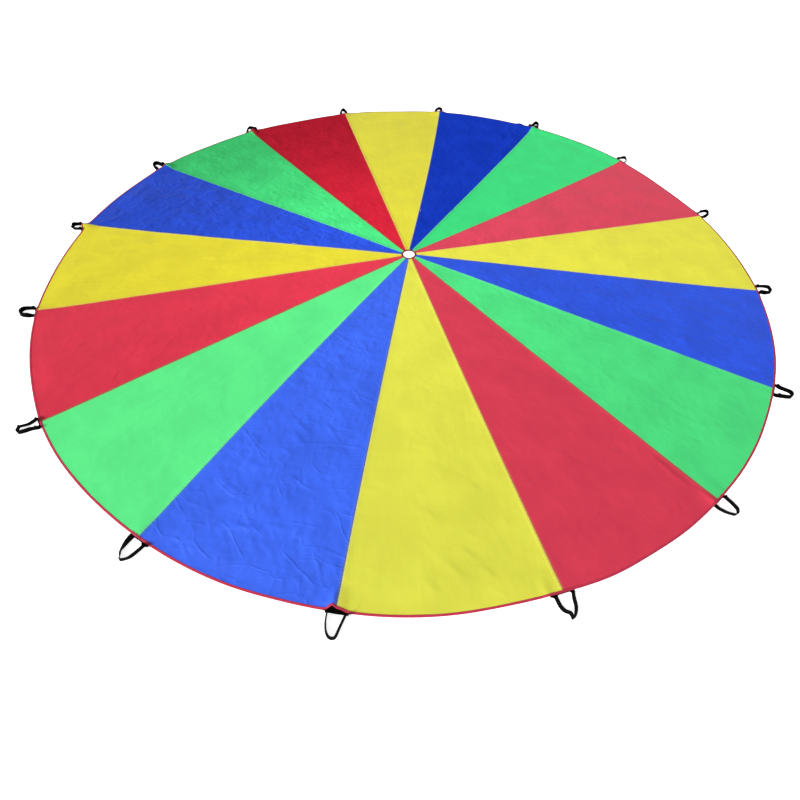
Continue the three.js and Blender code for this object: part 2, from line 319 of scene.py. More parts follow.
def cloth_height(x, y, gore=None):
    """The height of the cloth's underside above the floor, at a point of the even circle: a swell in each gore, long
    and short waves, ridges and fine ridges, and the gore's own creases, which end in the flat crown and the hem."""
    r = np.hypot(x, y)
    a = np.arctan2(y, x) % (2 * math.pi)
    rr = np.minimum(r, RADIUS - 0.016)
    px, py = rr * np.cos(a), rr * np.sin(a)
    into = (a / STEP) % 1
    swell = smooth(r, 0.3, 1.3) * np.sin(math.pi * into) ** 2
    share = crumple_share(a)
    h = 0.3 * MM + 2.4 * MM * swell
    h = h + (1.1 + 1.3 * share) * MM * (1 + noise(px * 2.3, py * 2.3, 1)) * smooth(r, 0.1, 0.5)
    h = h + 0.75 * MM * (1 + noise(px * 7.5, py * 7.5, 2)) * (0.25 + share) * smooth(r, 0.06, 0.3)
    warp = noise(px * 6, py * 6, 7) * 0.5
    ridged = 1 - np.abs(noise(px * 17 + warp, py * 17 - warp, 3))
    h = h + 1.5 * MM * share * ridged**2 * smooth(r, 0.05, 0.3)
    fine = 1 - np.abs(noise(px * 38 - warp * 2, py * 38 + warp * 2, 4))
    h = h + 0.7 * MM * share * fine**2 * smooth(r, 0.05, 0.3)
    if gore is not None:
        h = h + np.maximum(1.3 * creases_at(px, py, gore), -1.5 * MM) * smooth(r, 0.05, 0.2)
        h = 0.2 * MM + np.hypot(0.3 * MM, np.maximum(h, 0.2 * MM) - 0.2 * MM)
    crown = 1 - smooth(r, 0.045, 0.12)
    hem = smooth(r, RADIUS - RISE_START, RADIUS - RISE_END)
    edge = hem_height(a)
    return h * (1 - hem) * (1 - crown) + edge * hem + 1.0 * MM * crown


def creep(points):
    """Moves points of the even circle to where the cloth has crept."""
    x, y = points[..., 0], points[..., 1]
    r = np.hypot(x, y)
    a = np.arctan2(y, x) % (2 * math.pi)
    k = np.round(a / STEP).astype(int) % GORES
    u = (a / STEP - np.round(a / STEP)) * STEP * RADIUS
    turned = a + sideways_creep(a, r) / np.maximum(r, 1 * MM)
    r = r + rim_out(a) * (r / RADIUS) ** 5 - tents(k, u, TENT_DRAW) * smooth(r, RADIUS - DRAW_START, RADIUS)
    return np.stack([r * np.cos(turned), r * np.sin(turned), points[..., 2]], -1)


def height_over(k, u, r):
    """The height of the cloth's underside over a place, u along the rim from handle k and r from the middle. The place
    of the even circle that the cloth there comes from is found in a few rounds."""
    a = (STEP * k + u / RADIUS) % (2 * math.pi)
    even = r
    for _ in range(6):
        drawn = tents(k, u, TENT_DRAW) * smooth(even, RADIUS - DRAW_START, RADIUS)
        even = r - rim_out(a) * (even / RADIUS) ** 5 + drawn
    return cloth_height(even * np.cos(a), even * np.sin(a))


def placed(name, data):
    ob = bpy.data.objects.new(name, data)
    bpy.context.scene.collection.objects.link(ob)
    return ob


def tube(name, rings, closed, uvs, material, body="canopy"):
    """A mesh through a row of rings of points, capped at both ends unless it is closed. uvs gives a pair of numbers for
    each point, under the layer's name. The piece rides on a body, or on none where it is to be blended."""
    rings = np.asarray(rings, float)
    rows, size = rings.shape[:2]
    index = np.arange(rows * size).reshape(rows, size)
    nxt = np.roll(index, -1, axis=1)
    upper = np.roll(index, -1, axis=0)
    upper_nxt = np.roll(nxt, -1, axis=0)
    last = rows if closed else rows - 1
    quads = np.stack([index[:last], nxt[:last], upper_nxt[:last], upper[:last]], -1).reshape(-1, 4)
    if not closed:
        half = size // 2
        near = np.arange(half - 1)
        far = size - 1 - near
        first = np.stack([index[0][near], index[0][far], index[0][far - 1], index[0][near + 1]], -1)
        final = np.stack([index[-1][near], index[-1][near + 1], index[-1][far - 1], index[-1][far]], -1)
        quads = np.concatenate([quads, first, final])
    mesh = bpy.data.meshes.new(name)
    mesh.vertices.add(rows * size)
    mesh.vertices.foreach_set("co", rings.reshape(-1).astype(np.float32))
    mesh.loops.add(len(quads) * 4)
    mesh.loops.foreach_set("vertex_index", quads.reshape(-1).astype(np.int32))
    mesh.polygons.add(len(quads))
    mesh.polygons.foreach_set("loop_start", (np.arange(len(quads)) * 4).astype(np.int32))
    mesh.polygons.foreach_set("use_smooth", np.ones(len(quads), bool))
    for uv_name, uv in uvs.items():
        layer = mesh.uv_layers.new(name=uv_name)
        flat = np.asarray(uv, float).reshape(-1, 2)
        loop_uv = flat[quads.reshape(-1)]
        if closed:
            wrapped = np.zeros(len(quads), bool)
            wrapped[(rows - 1) * size : rows * size] = True
            lift = np.zeros((len(quads), 4))
            lift[wrapped, 2:] = uv[-1, 0, 0] + (uv[1, 0, 0] - uv[0, 0, 0])
            loop_uv[:, 0] += lift.reshape(-1)
        layer.data.foreach_set("uv", loop_uv.reshape(-1).astype(np.float32))
    mesh.update()
    mesh.validate()
    mesh.materials.append(material)
    ob = placed(name, mesh)
    if body:
        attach(ob, body)
    return ob


class Nodes:
    """A short way to write a node tree."""

    def __init__(self, name):
        self.material = bpy.data.materials.new(name)
        self.material.use_nodes = True
        self.tree = self.material.node_tree
        self.tree.nodes.clear()
        self.out = self.tree.nodes.new("ShaderNodeOutputMaterial")
        self.shader = self.add("BsdfPrincipled")
        self.link(self.shader.outputs[0], self.out.inputs[0])

    def add(self, kind, **props):
        node = self.tree.nodes.new("ShaderNode" + kind)
        for key, value in props.items():
            setattr(node, key, value)
        return node

    def link(self, a, b):
        self.tree.links.new(a, b)

    def put(self, socket, value):
        """Sets the socket, or links it where the value is another node's output."""
        if isinstance(value, (int, float, tuple)):
            socket.default_value = value
        else:
            self.link(value, socket)

    def math(self, operation, a, b=0.0, c=0.0, clamp=False):
        node = self.add("Math", operation=operation, use_clamp=clamp)
        for socket, value in zip(node.inputs, (a, b, c)):
            self.put(socket, value)
        return node.outputs[0]

    def step(self, value, low, high, a=0.0, b=1.0):
        """From a to b, smoothly, as the value goes from low to high."""
        node = self.add("MapRange", interpolation_type="SMOOTHSTEP")
        for key, v in (("Value", value), ("From Min", low), ("From Max", high), ("To Min", a), ("To Max", b)):
            self.put(node.inputs[key], v)
        return node.outputs[0]

    def mix(self, share, a, b, blend="MIX"):
        node = self.add("Mix", data_type="RGBA", blend_type=blend)
        self.put(node.inputs[0], share)
        self.put(node.inputs[6], a)
        self.put(node.inputs[7], b)
        return node.outputs[2]

    def uv(self, name):
        """A uv layer's place, and its two parts."""
        node = self.add("UVMap", uv_map=name)
        parts = self.add("SeparateXYZ")
        self.link(node.outputs[0], parts.inputs[0])
        return node.outputs[0], parts.outputs[0], parts.outputs[1]

    def noise(self, vector, scale, detail=2.0, kind="FBM", rough=0.5, distortion=0.0):
        node = self.add("TexNoise", noise_type=kind, noise_dimensions="3D")
        self.link(vector, node.inputs["Vector"])
        for key, v in (("Scale", scale), ("Detail", detail), ("Roughness", rough), ("Distortion", distortion)):
            node.inputs[key].default_value = v
        return node.outputs[0]

    def mapped(self, vector, **values):
        node = self.add("Mapping")
        self.link(vector, node.inputs[0])
        for key, value in values.items():
            node.inputs[key].default_value = value
        return node.outputs[0]

    def creases(self, vector, scale, width):
        """A net of thin lines, 1 on a line and 0 between."""
        node = self.add("TexVoronoi", feature="DISTANCE_TO_EDGE")
        self.link(vector, node.inputs["Vector"])
        node.inputs["Scale"].default_value = scale
        return self.step(node.outputs["Distance"], width * scale, 0.0)

    def moved(self, vector, scale, amount):
        """The place, pushed about by noise."""
        node = self.add("TexNoise", noise_dimensions="3D")
        self.link(vector, node.inputs["Vector"])
        node.inputs["Scale"].default_value = scale
        node.inputs["Detail"].default_value = 2.0
        push = self.add("VectorMath", operation="MULTIPLY_ADD")
        self.link(node.outputs["Color"], push.inputs[0])
        push.inputs[1].default_value = (amount, amount, 0)
        self.link(vector, push.inputs[2])
        return push.outputs[0]

    def bump(self, height, distance, normal=None, strength=1.0):
        node = self.add("Bump")
        node.inputs["Strength"].default_value = strength
        node.inputs["Distance"].default_value = distance
        self.put(node.inputs["Height"], height)
        if normal is not None:
            self.link(normal, node.inputs["Normal"])
        return node.outputs[0]

    def wave(self, vector, period, direction, distortion=0.0):
        """Even waves of a given length along one direction."""
        node = self.add("TexWave", bands_direction=direction)
        self.link(vector, node.inputs["Vector"])
        node.inputs["Scale"].default_value = 2 * math.pi / (20 * period)
        node.inputs["Distortion"].default_value = distortion
        return node.outputs[1]

    def dashes(self, along, length, gap):
        """1 on a dash and 0 between, with soft ends."""
        phase = self.math("FRACT", self.math("DIVIDE", along, length + gap))
        off = self.math("ABSOLUTE", self.math("SUBTRACT", phase, 0.5))
        half = 0.5 * length / (length + gap)
        return self.step(off, half, half - 0.08)


def linear(rgb):
    """A colour given in 0 to 255, as the light that it stands for."""

    def one(c):
        c = c / 255
        return c / 12.92 if c <= 0.04045 else ((c + 0.055) / 1.055) ** 2.4

    return tuple(one(c) for c in rgb)


def scaled(rgb, share, lift=0.0):
    """The colour made darker or lighter, with its alpha."""
    return tuple(min(1.0, c * share + lift) for c in rgb) + (1.0,)


# The nets of fine creases in the cloth: scale, line's width, strength, scale of its patches and turn in degrees
NETS = [(7.0, 0.008, 1.0, 4.1, 15), (12.0, 0.006, 0.8, 6.3, -22), (21.0, 0.004, 0.6, 9.7, 35)]

# The seam coordinate is the distance past the left seam, but in a gore's right half the distance past its right seam
# plus RIGHT_SEAM
RIGHT_SEAM = 10.0

# How strongly the neighbour's colour tints the doubled cloth and how much that colour is lightened, a painted
# highlight:
# as a rule, and by a left seam that has neither painted highlight nor painted shade
TINT, PLAIN_TINT = (0.13, 0.0), (0.35, 0.25)


def cloth_material(name, rgb, neighbours, edges, rim_painted_shade, gloss, seed, crumpled, crease_turn):
    """Thin shiny taffeta: a fine weave, small creases and a stitched seam strip. Beside its two seams, right and left,
    the doubled cloth is tinted by the neighbour's colour, with a painted highlight or painted shade as the edges say.
    It also has painted sheen on its crinkles and painted shade towards the rim."""
    n = Nodes(name)
    cloth, _, along = n.uv("cloth")
    _, seam, out = n.uv("seam")
    place = n.mapped(cloth, Location=(seed * 3.7, seed * 1.9, 0))
    mottle = n.noise(place, 6.0, 4.0)
    streak = n.noise(n.mapped(place, Scale=(60.0, 4.0, 1.0)), 1.0, 2.0)
    tone = n.math("ADD", n.math("MULTIPLY", mottle, 0.8), n.math("MULTIPLY", streak, 0.2))
    spread = 0.03 + 0.07 * crumpled
    colour = n.mix(n.step(tone, 0.34, 0.66), scaled(rgb, 1 - spread), scaled(rgb, 1 + spread, 0.001))
    crinkle = n.noise(place, 20.0, 5.0, "RIDGED_MULTIFRACTAL", 0.55, 0.5)
    # Painted sheen: the cloth is painted lighter on the crinkles' ridges, as if they caught the light
    crease_sheen = n.step(crinkle, 1.0, 2.1, 0.0, 0.35 * crumpled)
    colour = n.mix(crease_sheen, colour, scaled(rgb, 1.22, 0.008))

    # The gore shows from LAP outside its left seam, but only from LAP inside its right one, past the neighbour's edge
    from_left = n.math("MULTIPLY", seam, -1.0)
    from_right = n.math("SUBTRACT", seam, RIGHT_SEAM)
    # The painted highlight's colour; the painted shade is the cloth's colour darkened
    pale = tuple(0.45 * c + 0.5 for c in scaled(rgb, 1.1)[:3]) + (1,)
    for distance, start, seam_light, beside, (share, lift) in (
        (from_left, -LAP, edges[1], neighbours[1], TINT if edges[1] else PLAIN_TINT),
        (from_right, LAP, edges[0], neighbours[0], TINT),
    ):
        mine = n.step(distance, -0.2, -0.1)
        # A strip beside the seam with painted highlight or painted shade, as the seam's painted light says
        strip = n.math("MULTIPLY", mine, n.step(distance, start + 0.0055, start + 0.004, 0.0, abs(seam_light)))
        colour = n.mix(strip, colour, pale if seam_light > 0 else scaled(rgb, 0.42))
        tint = n.math("MULTIPLY", mine, n.step(distance, start + 0.008, start + 0.001, 0.0, share))
        colour = n.mix(tint, colour, scaled(beside, 1.15, lift))
    distance = n.math("ABSOLUTE", seam)
    row = n.step(n.math("ABSOLUTE", n.math("SUBTRACT", distance, 0.0034)), 0.0005, 0.0003)
    stitch = n.math("MULTIPLY", row, n.dashes(out, 0.0026, 0.0007))
    colour = n.mix(n.math("MULTIPLY", stitch, 0.6), colour, scaled(rgb, 0.72, 0.02))
    # Painted shade: the colour is darkened out towards the rim, where less light falls
    painted_rim_share = n.step(along, 0.3, 1.75, 1.0, rim_painted_shade)
    colour = n.mix(painted_rim_share, (0, 0, 0, 1), colour)
    n.link(colour, n.shader.inputs["Base Color"])

    rough = n.step(tone, 0.3, 0.7, 0.48, 0.56)
    n.link(rough, n.shader.inputs["Roughness"])
    n.shader.inputs["Specular IOR Level"].default_value = gloss

    weave = n.math("MAXIMUM", n.wave(cloth, 0.0011, "X"), n.wave(cloth, 0.0014, "Y"))
    pushed = n.moved(place, 7.0, 0.05)
    net = None
    for scale, width, strength, patches, turn in NETS:
        turned = n.mapped(pushed, Rotation=(0, 0, math.radians(crease_turn + turn)))
        lines = n.creases(n.mapped(turned, Scale=(1.0, 0.4, 1.0)), scale, width)
        here = n.step(n.noise(place, patches, 1.0), 0.47, 0.6, 0.0, strength)
        lines = n.math("MULTIPLY", lines, here)
        net = lines if net is None else n.math("ADD", net, lines)
    normal = n.bump(net, 0.0016 * (0.02 + 0.98 * crumpled**1.6))
    normal = n.bump(crinkle, 0.0022 * (0.06 + 0.94 * crumpled), normal)
    soft = n.noise(place, 9.0, 3.0, "RIDGED_MULTIFRACTAL", 0.5, 0.8)
    normal = n.bump(soft, 0.0045 * (0.12 + 0.88 * crumpled), normal)
    pucker = n.wave(cloth, 0.011, "Y", 2.5)
    near = n.step(distance, 0.016, 0.005)
    normal = n.bump(n.math("MULTIPLY", pucker, near), 0.0003, normal)
    normal = n.bump(stitch, 0.0003, normal)
    normal = n.bump(weave, 0.00005, normal, 0.6)
    n.link(normal, n.shader.inputs["Normal"])
    return n.material


def tape_material(name, rgb, stitch_at, painted_shade_at=None):
    """Ribbed binding tape with a row of stitches. Round the angle given last it is painted darker and browner, a
    painted shade where less light falls.
    """
    n = Nodes(name)
    place, along, across = n.uv("tape")
    tone = n.noise(n.mapped(place, Scale=(90.0, 300.0, 1.0)), 1.0, 2.0)
    colour = n.mix(n.step(tone, 0.3, 0.7), scaled(rgb, 0.86), scaled(rgb, 1.1, 0.003))
    if painted_shade_at is not None:
        # Painted shade: darker and browner round that angle, where less light falls on the tape
        turn = n.math("SUBTRACT", n.math("DIVIDE", along, RADIUS), painted_shade_at)
        share = n.math("MULTIPLY_ADD", n.math("COSINE", turn), 0.47, 0.47)
        colour = n.mix(share, colour, (0.012, 0.006, 0.004, 1))
    row = n.step(n.math("ABSOLUTE", n.math("SUBTRACT", n.math("ABSOLUTE", across), stitch_at)), 0.0006, 0.0003)
    stitch = n.math("MULTIPLY", row, n.dashes(along, 0.0026, 0.0008))
    # Painted shade: the tape is darker in the groove along its stitch row
    colour = n.mix(n.math("MULTIPLY", row, 0.35), colour, scaled(rgb, 0.6))
    colour = n.mix(n.math("MULTIPLY", stitch, 0.7), colour, scaled(rgb, 1.2, 0.02))
    n.link(colour, n.shader.inputs["Base Color"])
    n.shader.inputs["Roughness"].default_value = 0.62
    n.shader.inputs["Specular IOR Level"].default_value = 0.3
    normal = n.bump(n.wave(place, 0.0009, "X"), 0.00012)
    normal = n.bump(stitch, 0.0004, normal)
    normal = n.bump(n.math("SUBTRACT", 1.0, row), 0.0005, normal)
    n.link(normal, n.shader.inputs["Normal"])
    return n.material


def webbing_material():
    """Black woven strap: a herringbone of ribs, with a plain selvage at each edge."""
    n = Nodes("black_webbing")
    place, along, across = n.uv("strap")
    lean = n.math("ADD", along, n.math("MULTIPLY", n.math("PINGPONG", across, 0.0033), 0.9))
    rib = n.math("SINE", n.math("MULTIPLY", lean, 2 * math.pi / 0.0016))
    thread = n.math("SINE", n.math("MULTIPLY", across, 2 * math.pi / 0.0011))
    raised = n.math("ADD", n.math("MULTIPLY", rib, 0.35), n.math("MULTIPLY", thread, 0.15))
    fuzz = n.noise(place, 900.0, 2.0)
    colour = n.mix(n.step(raised, -0.4, 0.5), (0.0003, 0.0004, 0.0004, 1), (0.0010, 0.0012, 0.0012, 1))
    colour = n.mix(n.step(fuzz, 0.45, 0.75, 0.0, 0.3), colour, (0.004, 0.0045, 0.0045, 1))
    n.link(colour, n.shader.inputs["Base Color"])
    n.shader.inputs["Roughness"].default_value = 0.7
    n.shader.inputs["Specular IOR Level"].default_value = 0.02
    normal = n.bump(raised, 0.00035)
    normal = n.bump(fuzz, 0.0002, normal)
    n.link(normal, n.shader.inputs["Normal"])
    return n.material


def thread_material():
    """Twisted red thread."""
    n = Nodes("red_thread")
    texture = n.add("TexCoord")
    twist = n.noise(texture.outputs["Object"], 1500.0, 1.0)
    n.link(n.mix(twist, (0.22, 0.01, 0.015, 1), (0.42, 0.03, 0.04, 1)), n.shader.inputs["Base Color"])
    n.shader.inputs["Roughness"].default_value = 0.55
    n.link(n.bump(twist, 0.0001), n.shader.inputs["Normal"])
    return n.material


# The four dyes, the tint of the painted sheen on each, and for each gore a painted shade that makes it lighter or
# duller and a painted sheen, a pale veil added to its colour: both stand in for how the light falls on each gore
DYES = {"yellow": (232, 226, 66), "red": (223, 57, 80), "green": (81, 233, 135), "blue": (45, 85, 221)}
PAINTED_SHEEN_TINTS = {
    "yellow": (0.36, 1.89, 0.75), "red": (1.03, 0.75, 1.21), "green": (1.19, 1.31, 0.49), "blue": (0.59, 1.33, 1.08),
}
GORE_PAINTED_SHADE = [1.01, 0.96, 0.93, 0.73, 0.98, 1.02, 1.09, 1.1, 1.05, 1.11, 1.03, 1.18, 0.96, 0.9, 0.95, 1.0]
GORE_PAINTED_SHEEN = [
    0.01, 0.025, -0.024, -0.018, -0.008, -0.028, -0.004, -0.004, -0.03, -0.007, 0.027, 0.023, 0.031, 0.011, 0.001,
    -0.001,
]
# How glossy each gore is, as the shader's specular level
GLOSS = [0.16, 0.12, 0.06, 0.0, 0.14, 0.0, 0.0, 0.05, 0.14, 0.12, 0.12, 0.18, 0.16, 0.12, 0.12, 0.12]
# Painted shade: how much darker the cloth of each gore is painted by the rim, where less light falls
RIM_PAINTED_SHADE = [0.94, 0.91, 0.98, 0.98, 0.9, 0.59, 0.6, 0.67, 0.9, 0.84, 0.95, 1.11, 0.92, 0.95, 0.88, 0.97]

# Painted light beside a gore's right and left seam: above 0 a painted highlight, paler, where the seam's fold catches
# the light; below 0 a painted shade, darker, where the lap shades the cloth
SEAM_PAINTED_LIGHT = {"yellow": (0.3, 0.0), "red": (-0.3, -0.75), "green": (-0.15, 0.25), "blue": (-0.3, -0.75)}


def gore_rows(k):
    """The radius of each row of points out along a gore, close together at the crown and the hem."""
    inner = np.array([32.2, 36, 41, 47, 55, 65, 78, 92]) * MM
    spacing = 0.0062 if CRUMPLED[k] > FINE_FROM else 0.0076
    middle = np.arange(0.104, RADIUS - 0.03, spacing)
    outer = RADIUS - np.array([28, 22, 17, 13.5, 11, 8, 4, 1.2]) * MM
    return np.concatenate([inner, middle, outer])


def gore_columns(k, r):
    """(angle past the gore's right seam, lift) of each point across the gore at radius r."""
    wide = r * STEP
    half = min(LAP, wide * 0.2)
    share = half / LAP
    middle = 110 if CRUMPLED[k] > FINE_FROM else 84
    right = np.array([-5, -3, 0, 3.4, 5.4, 7.0, 10, 16]) * MM * share
    right_lift = np.array([0, 0, 0, 0, 0, 0, 0.1, 0]) * MM
    left = wide + np.array([-16, -10, -7.2, -5.4, -4.4, -3.4, -1.6, 1.6, 3.4, 4.6, 5.0]) * MM * share
    left_lift = np.array([0, 0.1, 0.05, 0.1, 0.62, 0.60, 0.85, 0.85, 0.60, 0.62, 0.60]) * MM
    inside = np.linspace(right[-1], left[0], middle + 2)[1:-1]
    across = np.concatenate([right, inside, left])
    lift = np.concatenate([right_lift, np.zeros(middle), left_lift])
    return across / r, lift


def make_gore(k, material):
    """One gore: a thin sheet whose left edge steps up and lies on the next gore's right edge."""
    start = STEP * k
    rings, cloth_uv, seam_uv = [], [], []
    for r in gore_rows(k):
        angle, lift = gore_columns(k, r)
        x, y = r * np.cos(start + angle), r * np.sin(start + angle)
        rings.append(np.stack([x, y, lift], -1))
        mid = angle - STEP / 2
        cloth_uv.append(np.stack([r * np.sin(mid), r * np.cos(mid)], -1))
        right, left = angle * r, (angle - STEP) * r
        seam = np.where(np.abs(right) < np.abs(left), right + RIGHT_SEAM, left)
        seam_uv.append(np.stack([seam, right * 0 + r], -1))
    rings = np.array(rings)
    x, y = rings[..., 0], rings[..., 1]
    rings[..., 2] += cloth_height(x, y, k)
    low = creep(rings)
    high = low + np.array([0, 0, CLOTH])
    loops = np.concatenate([low, high[:, ::-1]], axis=1)
    cloth_uv, seam_uv = np.array(cloth_uv), np.array(seam_uv)
    uvs = {
        "cloth": np.concatenate([cloth_uv, cloth_uv[:, ::-1]], axis=1),
        "seam": np.concatenate([seam_uv, seam_uv[:, ::-1]], axis=1),
    }
    node = f"gore_{k + 1:02d}_{COLOURS[k % 4]}"
    ob = tube(f"cloth_{k + 1:02d}_{COLOURS[k % 4]}", loops, False, uvs, material)
    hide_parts(node)
    return ob


def make_binding(name, radius, width, inward, stations, material, node):
    """A tape folded round a round edge, gripping the cloth, with small puckers between its stitches."""
    side = -1 if inward else 1
    a = np.arange(stations) * 2 * math.pi / stations
    flat_r = radius + side * width / 2
    z0 = cloth_height(flat_r * np.cos(a), flat_r * np.sin(a))
    place = (a / STEP) % 1
    off = np.minimum(place, 1 - place) * STEP * radius
    lap = LAP_LIFT * (1 - smooth(off, 6 * MM, 10 * MM)) if inward else LAP_LIFT * np.ones_like(a)
    slot_low = z0 - 0.12 * MM
    slot_high = z0 + CLOTH + 0.12 * MM + lap
    grow = 1.0 if inward else 0.5
    pucker = noise(a * radius / 0.012, a * 0 + 0.5, 21) * 0.22 * MM * grow
    wander = noise(a * radius / 0.05, a * 0 + 0.5, 22) * 0.5 * MM * grow
    t = TAPE
    mid = (slot_low + slot_high) / 2
    h = (slot_high - slot_low) / 2 + t
    # The section, from the lower lip round the fold to the upper lip and back inside
    lip = side * (width + wander)
    fold = side * t
    section = [
        (lip, slot_low - t),
        (side * width * 0.6, slot_low - t),
        (fold * 1.3, mid - h * 0.92),
        (fold * 0.35, mid - h * 0.55),
        (0, mid),
        (fold * 0.35, mid + h * 0.55),
        (fold * 1.3, mid + h * 0.92),
        (side * width * 0.35, slot_high + t + 0.25 * MM + pucker),
        (side * width * 0.62, slot_high + t + pucker * 0.4),
        (side * width * 0.85, slot_high + t + 0.12 * MM),
        (lip, slot_high + t * 0.8),
        (lip, slot_high),
        (side * width * 0.5, slot_high),
        (fold * 1.6, slot_high),
        (fold * 1.6, slot_low),
        (lip, slot_low),
    ]
    rings, uv = [], []
    for dr, z in section:
        rr = radius + dr
        rings.append(np.stack([rr * np.cos(a), rr * np.sin(a), z], -1))
        uv.append(np.stack([a * radius, np.full(stations, np.mean(dr) * side)], -1))
    rings = np.stack(rings, 1)
    if inward:
        rings = rings[:, ::-1]
        uv = uv[::-1]
    rings = rings[:, ::-1]
    uv = np.stack(uv[::-1], 1)
    ob = tube(name, creep(rings), True, {"tape": uv}, material)
    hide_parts(node)
    return ob


def strap_section():
    """(across, through) points round the strap, woven edges a little thinner than its middle."""
    across = np.array([0, 0.25, 1.0, 3.5, 8, 11.5, 15, 19.5, 22.0, 22.75, 23]) * MM
    half = np.array([0.10, 0.38, 0.50, 0.47, 0.50, 0.48, 0.50, 0.47, 0.50, 0.38, 0.10]) * STRAP
    low = np.stack([across, STRAP / 2 - half], -1)
    high = np.stack([across, STRAP / 2 + half], -1)
    return np.concatenate([low, high[::-1]])


def loop_path(k, count):
    """The line that the strap follows, its middle where it is flat and its foot where it stands, in rounded bends."""
    first, last = HANDLES[k][0][0], HANDLES[k][-1][0]
    points = [(first, -12), (first, 0)] + HANDLES[k][1:-1] + [(last, 0), (last, -12)]
    points = np.array(points, float) * MM
    for smoothing in (10, 16, 0):
        length = np.concatenate([[0], np.cumsum(np.hypot(*np.diff(points, axis=0).T))])
        even = np.linspace(0, length[-1], 121 if smoothing else count)
        points = np.stack([np.interp(even, length, points[:, i]) for i in range(2)], -1)
        for _ in range(smoothing):
            points[1:-1] = points[1:-1] * 0.5 + (points[:-2] + points[2:]) * 0.25
    return points, even


def make_loop(k, material):
    """A handle's loop: flat at its roots under the hem, then on edge round the tip. v is how far it lies past the
    rim, and stand is 0 where the strap lies flat and 1 where it stands."""
    count = 92
    path, along = loop_path(k, count)
    angle = STEP * k
    tangent = np.gradient(path, axis=0)
    tangent /= np.linalg.norm(tangent, axis=1)[:, None]
    inward = np.stack([tangent[:, 1], -tangent[:, 0]], -1)
    v = path[:, 1]
    past_tip = (np.arange(count) - np.argmax(v)) / count
    leg = np.where(past_tip < 0, LEGS[k][0], LEGS[k][1]) * MM
    left_share = smooth(past_tip, -0.12, 0.12)
    lean = LEAN[k][0] * (1 - left_share) + LEAN[k][1] * left_share
    covered = np.where(past_tip < 0, *UNDER_HEM.get(k, (3, 3))) * MM
    stand = smooth(v, covered, leg)
    flat = np.where(past_tip < 0, ROOTS[k][0], ROOTS[k][1])
    twist = np.radians(flat + (lean - flat) * stand)
    beside = [angle + (path[:, 0] - CREEP[k] * MM + side * STRAP_WIDTH) / RADIUS for side in (-0.5, 0, 0.5)]
    hem = np.min([hem_height(a % (2 * math.pi)) for a in beside], axis=0)
    root = np.maximum(hem - 2 * STRAP - TAPE - ROOT_GAP, 0.05 * MM)
    rise = root * (1 - smooth(v, 2 * MM, 30 * MM)) + 0.05 * MM
    section = strap_section()
    up = np.array([0, 0, 1.0])
    radial = np.array([math.cos(angle), math.sin(angle), 0])
    sideways = np.array([-math.sin(angle), math.cos(angle), 0])
    foot = path[:, :1] * sideways + (RADIUS + v)[:, None] * radial + rise[:, None] * up
    inwards = inward[:, :1] * sideways + inward[:, 1:] * radial
    shift = np.where(flat > 90, 0.5, -0.5) * STRAP_WIDTH * (1 - stand)
    foot = foot + inwards * shift[:, None] + up * (STRAP * np.maximum(0, -np.cos(twist)))[:, None]
    across = inwards * np.cos(twist)[:, None] + up * np.sin(twist)[:, None]
    through = -inwards * np.sin(twist)[:, None] + up * np.cos(twist)[:, None]
    rings = (
        foot[:, None]
        + across[:, None] * section[None, :, :1]
        + through[:, None] * section[None, :, 1:]
    )
    rings[..., 2] = np.maximum(rings[..., 2], 0.0)
    uv = np.zeros(rings.shape[:2] + (2,))
    uv[..., 0] = along[:, None]
    uv[..., 1] = section[None, :, 0]
    ob = tube(f"strap_loop_{k + 1:02d}", rings, False, {"strap": uv}, material, body=None)
    # Where the rim and the tents' edge lie along the handle's roots; this is worked out but not used
    spots = np.linspace(*handle_ends(k), 9)
    past = rim_out((angle + spots / RADIUS) % (2 * math.pi)) - tents(k, spots, TENT_DRAW)
    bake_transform(ob)
    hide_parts(f"handle_{k + 1:02d}_loop")


def make_base(k, material):
    """The sewn middle of the strap, between the hem and the two roots of the loop."""
    left, right = handle_ends(k)
    angle = STEP * k
    u = np.linspace(left + 7 * MM, right - 7 * MM, 40)
    hem = hem_height((angle + u / RADIUS) % (2 * math.pi))
    z = np.maximum(hem - STRAP - TAPE - BASE_GAP, BASE_FLOOR)
    section = strap_section()
    radial = np.array([math.cos(angle), math.sin(angle), 0])
    sideways = np.array([-math.sin(angle), math.cos(angle), 0])
    up = np.array([0, 0, 1.0])
    # The strap follows the round of the rim
    out = RADIUS + BASE_OUT.get(k, 2) * MM + rim_out((angle + u / RADIUS) % (2 * math.pi))
    even_u, even_out = u, out
    u = u + CREEP[k] * MM
    out = out - u * u / (2 * RADIUS)
    # Its outer edge droops a little from the hem
    droop = -np.minimum(0.35 * (z - STRAP), 3.0 * MM)
    rings = []
    for a, b in section:
        share = 1 - a / STRAP_WIDTH
        # Where the hem stands up as a tent, the strap stays under the cloth
        over = height_over(k, even_u, even_out - a) - STRAP - TAPE - BASE_GAP
        z_here = np.maximum(np.minimum(z, over), BASE_FLOOR)
        rings.append(
            u[:, None] * sideways
            + (out - a)[:, None] * radial
            + (z_here + b + droop * max(0.0, share - 0.55) / 0.45)[:, None] * up
        )
    rings = np.stack(rings, 1)
    uv = np.zeros(rings.shape[:2] + (2,))
    uv[..., 0] = u[:, None]
    uv[..., 1] = section[None, :, 0]
    ob = tube(f"strap_base_{k + 1:02d}", rings[:, ::-1], False, {"strap": uv[:, ::-1]}, material)
    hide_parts(f"handle_{k + 1:02d}_base")


# One stitch, a small bead of thread: its points in mm and its faces
STITCH = np.array([
    (-1.3, 0, 0), (-0.8, -0.25, 0), (0.8, -0.25, 0), (1.3, 0, 0),
    (0.8, 0.25, 0), (-0.8, 0.25, 0), (-0.7, 0, 0.28), (0.7, 0, 0.28),
]) * MM
STITCH_FACES = [(0, 1, 6), (1, 2, 7, 6), (2, 3, 7), (3, 4, 7), (4, 5, 6, 7), (5, 0, 6), (5, 4, 3, 2, 1, 0)]
STITCH_STEP = 3.2 * MM


